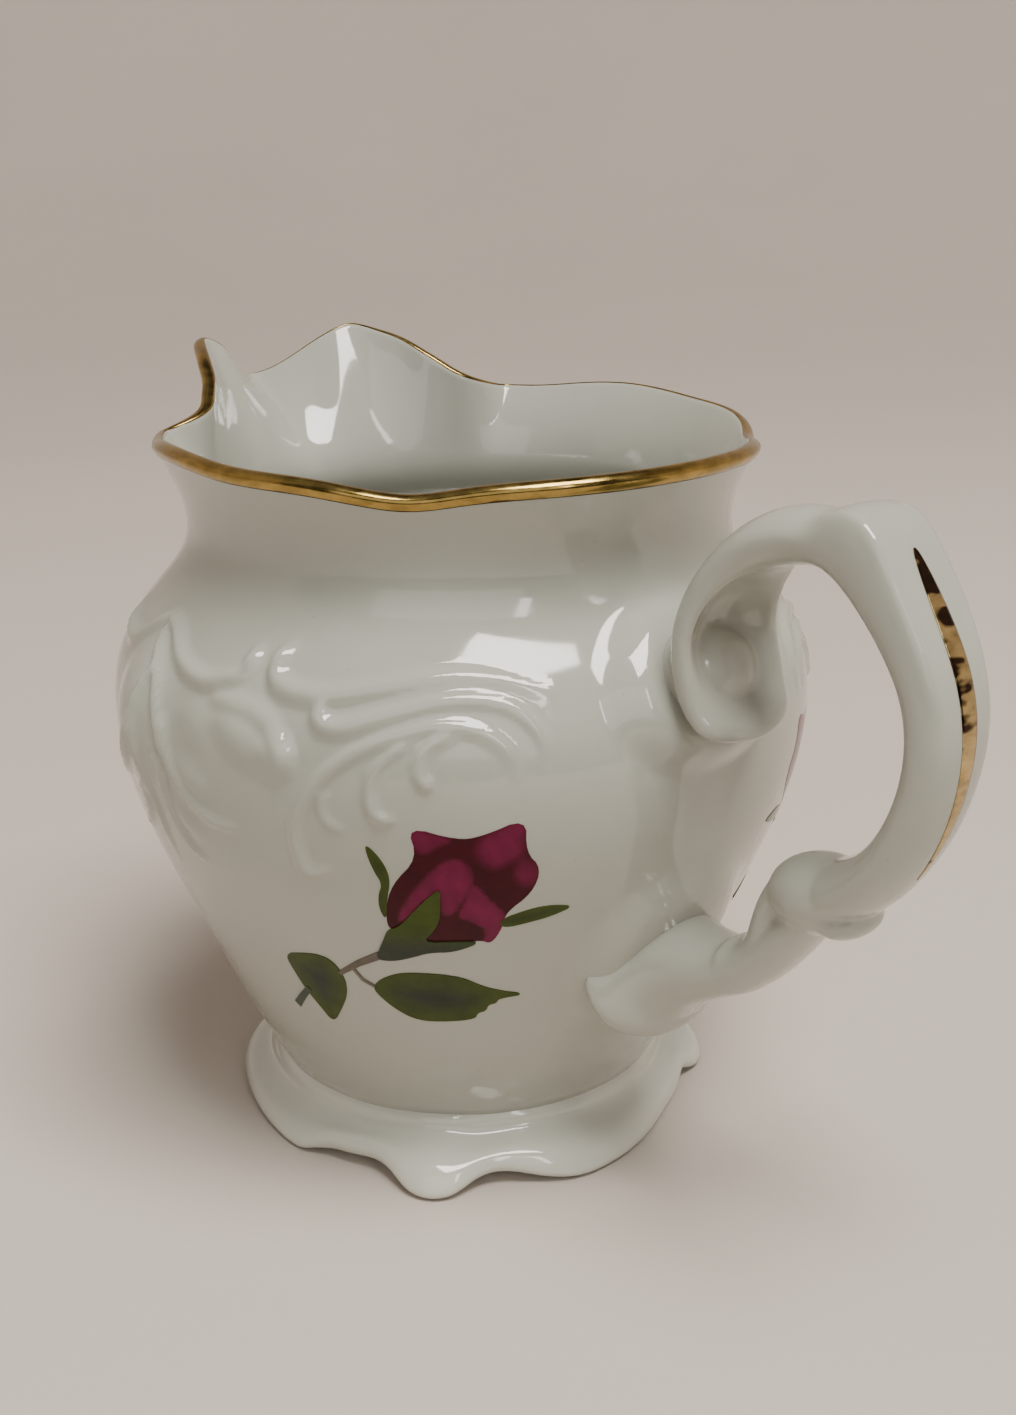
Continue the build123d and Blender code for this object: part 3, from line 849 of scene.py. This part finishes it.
# Petals, in the order they are painted: outline, share of pink, and softness of the edge.
petals = [
    ([(-3.4, 49.4), (1.9, 47.7), (0.1, 46.9), (-2.0, 45.5)], 0.75, 0.5),
    ([(3.7, 47.4), (6.2, 49.0), (8.9, 50.0), (8.8, 45.6), (6.6, 44.5), (5.2, 44.0), (4.0, 45.4)], 0.8, 1.1),
    ([(8.5, 45.8), (10.6, 43.9), (9.9, 41.4), (7.9, 42.2), (7.4, 43.9)], 0.62, 0.9),
    ([(-4.6, 38.6), (-2.6, 41.8), (0.2, 45.1), (1.9, 45.6), (3.2, 44.5), (3.6, 42.6), (2.4, 40.3), (1.2, 38.4),
      (0.0, 38.4), (0.0, 41.6), (-2.1, 39.4), (-4.7, 36.8)], 0.95, 0.35),
    ([(3.5, 42.9), (5.1, 40.4), (7.1, 38.3), (6.9, 36.6), (5.6, 34.2), (4.4, 34.6), (4.9, 36.3), (3.7, 37.4),
      (1.6, 38.1), (2.7, 40.4)], 1.0, 0.2),
]
sepals = [
    [(-7.3, 46.8), (-6.2, 45.8), (-5.3, 44.2), (-5.0, 42.5), (-5.6, 40.2), (-6.0, 37.4), (-6.6, 38.9),
     (-6.5, 40.7), (-5.9, 42.2), (-6.6, 43.6), (-7.2, 45.6)],
    [(6.2, 37.7), (9.6, 38.9), (11.9, 39.1), (14.5, 38.6), (12.0, 37.6), (9.7, 37.1), (6.6, 36.5)],
]
calyx = [
    (-8.2, 31.9), (-6.9, 34.4), (-6.1, 36.2), (-4.6, 36.8), (-2.1, 39.9), (0.1, 42.1), (0.0, 40.0),
    (-0.1, 38.1), (-0.8, 36.5), (-2.3, 34.8), (1.4, 34.9), (4.5, 34.9), (1.3, 33.5), (-1.6, 33.4),
    (-3.8, 32.5), (-6.1, 31.8),
]
small_leaf = [
    (-21.5, 29.8), (-18.5, 30.7), (-15.7, 31.1), (-14.0, 30.4), (-13.1, 28.3), (-13.4, 25.8), (-14.9, 23.4),
    (-17.5, 20.3), (-19.0, 22.7), (-20.3, 24.8), (-21.0, 27.1),
]
long_leaf = [
    (-9.6, 27.5), (-7.7, 29.1), (-5.2, 30.1), (-1.3, 30.2), (2.0, 29.7), (4.3, 28.4), (6.3, 27.6),
    (10.4, 26.6), (6.7, 26.3), (6.5, 25.6), (5.4, 25.4), (5.2, 24.5), (4.0, 24.2), (3.8, 23.3), (0.0, 22.9),
    (-4.1, 22.9), (-6.7, 24.2), (-8.6, 25.9),
]
stem = [(-7.6, 32.4), (-10.6, 30.8), (-13.6, 28.8)]
twig = [(-11.6, 30.1), (-10.6, 28.4), (-9.2, 27.6)]
lower_twig = [(-19.6, 25.2), (-21.6, 23.4), (-23.2, 21.9)]

crimson = np.array((0.043, 0.0004, 0.005))
pink = np.array((0.165, 0.009, 0.050))
leaf_green = np.array((0.043, 0.062, 0.007))
leaf_blue = np.array((0.021, 0.027, 0.018))
stem_grey = np.array((0.12, 0.10, 0.078))


def softened(outline, rounds=2):
    """An outline with its corners cut, twice over."""
    for _ in range(rounds):
        cut = []
        for (x0, z0), (x1, z1) in zip(outline, outline[1:] + outline[:1]):
            cut.append((0.75 * x0 + 0.25 * x1, 0.75 * z0 + 0.25 * z1))
            cut.append((0.25 * x0 + 0.75 * x1, 0.25 * z0 + 0.75 * z1))
        outline = cut
    return outline


def ribbon(line, thick, thin):
    """The outline of a stroke along a line that narrows towards its end."""
    left, right = [], []
    last = len(line) - 1
    for i, (x, z) in enumerate(line):
        x0, z0 = line[max(i - 1, 0)]
        x1, z1 = line[min(i + 1, last)]
        run = hypot(x1 - x0, z1 - z0)
        half = (thick + (thin - thick) * i / last) / 2
        left.append((x - half * (z1 - z0) / run, z + half * (x1 - x0) / run))
        right.append((x + half * (z1 - z0) / run, z - half * (x1 - x0) / run))
    return left + right[::-1]


def depth_inside(points, outline):
    """How far each point lies inside an outline; less than nothing outside it."""
    edge = np.array(outline + outline[:1])
    start, run = edge[:-1], np.diff(edge, axis=0)
    away = points[:, None] - start
    along = np.clip((away * run).sum(-1) / (run * run).sum(-1), 0, 1)
    near = np.hypot(*np.moveaxis(away - along[..., None] * run, -1, 0)).min(axis=1)
    rising = (start[:, 1] > points[:, None, 1]) != (start[:, 1] + run[:, 1] > points[:, None, 1])
    climb = np.where(run[:, 1] == 0, 1, run[:, 1])
    cross = start[:, 0] + (points[:, None, 1] - start[:, 1]) * run[:, 0] / climb
    inside = ((rising & (points[:, None, 0] < cross)).sum(axis=1) % 2).astype(bool)
    return np.where(inside, near, -near)


def bud_ink(points):
    """Crimson in the hollows between the petals, pink where they turn outwards."""
    share = np.zeros(len(points))
    for outline, amount, soft in petals:
        depth = depth_inside(points, softened(outline))
        cover = np.clip(depth / soft + 0.5, 0, 1)
        share = share * (1 - cover) + amount * (0.72 + 0.28 * np.clip(depth / 1.3, 0, 1)) * cover
    streaks = 0.5 + 0.5 * np.sin(points[:, 0] * 3.1 + points[:, 1] * 0.9 + np.sin(points[:, 1] * 0.8))
    share = share * (0.86 + 0.14 * streaks)
    return crimson + (pink - crimson) * share[:, None]


def leaf_ink(outline, reach):
    """Green towards the edge of a leaf, dark and bluish along its middle."""

    def ink(points):
        middle = np.clip(depth_inside(points, outline) / reach, 0, 1) ** 1.3
        return leaf_green + (leaf_blue - leaf_green) * middle[:, None]

    return ink


def plain_ink(colour):
    """One colour all over, for the stems."""
    return lambda points: np.tile(colour, (len(points), 1))


def calyx_ink(points):
    """The middle sepal is bright; the cup below it is greyer."""
    low = np.clip((36.6 - points[:, 1]) / 3.0, 0, 1)
    return leaf_green * 1.1 + (leaf_blue * 1.5 - leaf_green * 1.1) * low[:, None]


prints = [(softened(bud), bud_ink)]
prints += [(softened(outline), leaf_ink(outline, 1.6)) for outline in sepals]
prints += [
    (softened(small_leaf), leaf_ink(small_leaf, 3.4)),
    (softened(long_leaf), leaf_ink(long_leaf, 3.6)),
    (ribbon(stem, 1.0, 0.55), plain_ink(stem_grey)),
    (ribbon(twig, 0.4, 0.35), plain_ink(stem_grey * 1.3)),
    (ribbon(lower_twig, 0.8, 1.1), plain_ink(leaf_blue * 2.2)),
    (softened(calyx), calyx_ink),
]


def fired_print():
    """Enamel ink melted into the glaze: fine screen grain, and a gloss near the glaze's own."""
    material = bpy.data.materials.new("rose_enamel")
    material.use_nodes = True
    tree = material.node_tree
    shader = tree.nodes["Principled BSDF"]
    shader.inputs["IOR"].default_value = 1.52
    shader.inputs["Coat IOR"].default_value = 1.5
    shader.inputs["Coat Roughness"].default_value = 0.04
    shader.inputs["Coat Weight"].default_value = 0.02
    shader.inputs["Specular IOR Level"].default_value = 0.14
    ink = node(tree, "Attribute", attribute_name="ink")
    spot = node(tree, "TexCoord")
    grain = node(tree, "TexNoise", Scale=2600.0, Detail=2.0, Roughness=0.5)
    blotch = node(tree, "TexNoise", Scale=420.0, Detail=3.0, Roughness=0.55)
    for texture in (grain, blotch):
        tree.links.new(spot.outputs["Object"], texture.inputs["Vector"])
    strength = node(tree, "MapRange", From_Min=0.3, From_Max=0.7, To_Min=0.84, To_Max=1.14)
    tree.links.new(blotch.outputs["Fac"], strength.inputs["Value"])
    shade = node(tree, "Mix", data_type="RGBA", blend_type="MULTIPLY")
    shade.inputs["Factor"].default_value = 1.0
    tree.links.new(ink.outputs["Color"], shade.inputs["A"])
    tree.links.new(strength.outputs["Result"], shade.inputs["B"])
    tree.links.new(shade.outputs["Result"], shader.inputs["Base Color"])
    gloss = node(tree, "MapRange", From_Min=0.3, From_Max=0.7, To_Min=0.10, To_Max=0.17)
    tree.links.new(grain.outputs["Fac"], gloss.inputs["Value"])
    tree.links.new(gloss.outputs["Result"], shader.inputs["Roughness"])
    bump = node(tree, "Bump", Strength=0.4, Distance=0.00001)
    tree.links.new(grain.outputs["Fac"], bump.inputs["Height"])
    tree.links.new(bump.outputs["Normal"], shader.inputs["Normal"])
    return material


rose_enamel = fired_print()
# Longest edge in a print's mesh; how far the first print and each later one stand above the
# glaze; and how far they all reach into it.
finest = 0.5
film_height, film_step, film_depth = 0.03, 0.02, 0.04


def rose_spray(name, side, spray_angle, raised):
    """One spray wrapped on the pot; side is -1 for the -Y side of the handle and 1 for the +Y side."""
    whole = bmesh.new()
    for layer, (outline, ink) in enumerate(prints):
        sheet = bmesh.new()
        colour = sheet.verts.layers.float_color.new("ink")
        corners = [sheet.verts.new((x, z, 0)) for x, z in outline]
        rims = [sheet.edges.new(pair) for pair in zip(corners, corners[1:] + corners[:1])]
        bmesh.ops.contextual_create(sheet, geom=rims)
        bmesh.ops.triangulate(sheet, faces=sheet.faces)
        for _ in range(6):
            long = [edge for edge in sheet.edges if edge.calc_length() > finest]
            bmesh.ops.subdivide_edges(sheet, edges=long, cuts=1)
            bmesh.ops.triangulate(sheet, faces=sheet.faces)
            bmesh.ops.beautify_fill(sheet, faces=sheet.faces, edges=sheet.edges, method="ANGLE")
        flat = np.array([point.co for point in sheet.verts])[:, :2]
        for point, shade in zip(sheet.verts, ink(flat)):
            point[colour] = (*shade, 1)
        made = bmesh.ops.extrude_face_region(sheet, geom=list(sheet.faces), use_keep_orig=True)["geom"]
        upper = {item for item in made if isinstance(item, bmesh.types.BMVert)}
        flat = np.array([point.co for point in sheet.verts])[:, :2]
        above = film_height + film_step * layer
        lift = np.array([above if point in upper else -film_depth for point in sheet.verts])
        flat[:, 1] += raised
        around = radians(side * spray_angle) - side * flat[:, 0] / round_scale
        slope = (wall_radius(flat[:, 1] + 0.1) - wall_radius(flat[:, 1] - 0.1)) / 0.2
        lift = (lift + relief_height(np.degrees(around), flat[:, 1])) / np.sqrt(1 + slope ** 2)
        reach = wall_radius(flat[:, 1]) + lift
        spots = np.stack((reach * np.cos(around), reach * np.sin(around), flat[:, 1] - lift * slope), axis=-1)
        for point, spot in zip(sheet.verts, spots):
            point.co = spot
        bmesh.ops.recalc_face_normals(sheet, faces=sheet.faces)
        carrier = bpy.data.meshes.new(name)
        sheet.to_mesh(carrier)
        sheet.free()
        whole.from_mesh(carrier)
        bpy.data.meshes.remove(carrier)
    spray = finished(name, whole, rose_enamel, smooth=False)
    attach(spray, "root")
    return spray


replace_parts(rose_spray("rose_spray_near", -1, 43.0, 0.0), "rose_transfer_near")
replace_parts(rose_spray("rose_spray_far", 1, 40.5, 2.0), "rose_transfer_far")

# ------------------------------------------------
# Stage. A pale sweep under and round the jug, a soft overhead light, and a pale sky.
# ------------------------------------------------
sweep_paint = bpy.data.materials.new("sweep_paint")
sweep_paint.use_nodes = True
tree = sweep_paint.node_tree
spot = node(tree, "TexCoord")
mottle = node(tree, "TexNoise", Scale=9.0, Detail=5.0, Roughness=0.6)
tree.links.new(spot.outputs["Object"], mottle.inputs["Vector"])
paint = node(tree, "Mix", data_type="RGBA")
paint.inputs["A"].default_value = (0.540, 0.478, 0.424, 1)
paint.inputs["B"].default_value = (0.585, 0.519, 0.460, 1)
tree.links.new(mottle.outputs["Fac"], paint.inputs["Factor"])
tree.links.new(paint.outputs["Result"], tree.nodes["Principled BSDF"].inputs["Base Color"])
tree.nodes["Principled BSDF"].inputs["Roughness"].default_value = 0.8
sweep_outline = [
    (0, 0), (150, 0), (300, 0), (360, 0), (420, 0), (470, 0), (520, 0), (660, 6), (780, 26), (880, 66),
    (960, 130), (1015, 220), (1045, 330), (1060, 480), (1065, 900), (1065, 1500),
]
sweep_mesh = turned(sweep_outline, 96)
bmesh.ops.reverse_faces(sweep_mesh, faces=sweep_mesh.faces)
# It ends a little behind the camera, which leaves that side of the room dim.
behind = [point for point in sweep_mesh.verts if 0.78 * point.co.x - 0.63 * point.co.y > 420]
bmesh.ops.delete(sweep_mesh, geom=behind, context="VERTS")
sweep = finished("sweep", sweep_mesh, sweep_paint)


def softbox(name, place, size, power, colour):
    """A rectangular light that faces the jug."""
    data = bpy.data.lights.new(name, "AREA")
    data.shape = "RECTANGLE"
    data.size, data.size_y = size
    data.energy = power
    data.color = colour
    light = bpy.data.objects.new(name, data)
    bpy.context.scene.collection.objects.link(light)
    aim = Vector((0, 0, 0.05)) - Vector(place)
    light.matrix_world = Matrix.Translation(place) @ aim.to_track_quat("-Z", "Y").to_matrix().to_4x4()
    return light


softbox("overhead", (0.38, -0.04, 1.06), (0.56, 0.46), 18.4, (1.0, 0.97, 0.92))
softbox("side", (0.97, -0.23, 0.66), (0.09, 0.45), 1.1, (1.0, 0.97, 0.92))
softbox("front", (0.66, -0.62, 0.50), (1.1, 0.7), 2.4, (1.0, 0.98, 0.94))
softbox("fill", (-0.5, -0.6, 1.2), (1.4, 1.4), 1.0, (1.0, 0.98, 0.95))
world = bpy.data.worlds.new("sky")
world.use_nodes = True
world.node_tree.nodes["Background"].inputs["Color"].default_value = (1.0, 0.97, 0.93, 1)
world.node_tree.nodes["Background"].inputs["Strength"].default_value = 0.105
bpy.context.scene.world = world

# ------------------------------------------------
# Camera. Looks down over the handle side, with the pouring lip turned away.
# ------------------------------------------------
lens_mm = 44.52
camera_place = Vector((153.06, -124.53, 114.89)) * MM
camera_heading = Vector((-0.7177, 0.6169, -0.3230))
camera_roll = radians(-0.35)

camera_data = bpy.data.cameras.new("camera")
camera_data.lens = lens_mm
camera_data.sensor_width = 36.0
camera_data.clip_start = 0.005
camera = bpy.data.objects.new("camera", camera_data)
bpy.context.scene.collection.objects.link(camera)
turn = camera_heading.to_track_quat("-Z", "Y").to_matrix() @ Matrix.Rotation(camera_roll, 3, "Z")
camera.matrix_world = Matrix.Translation(camera_place) @ turn.to_4x4()
bpy.context.scene.camera = camera
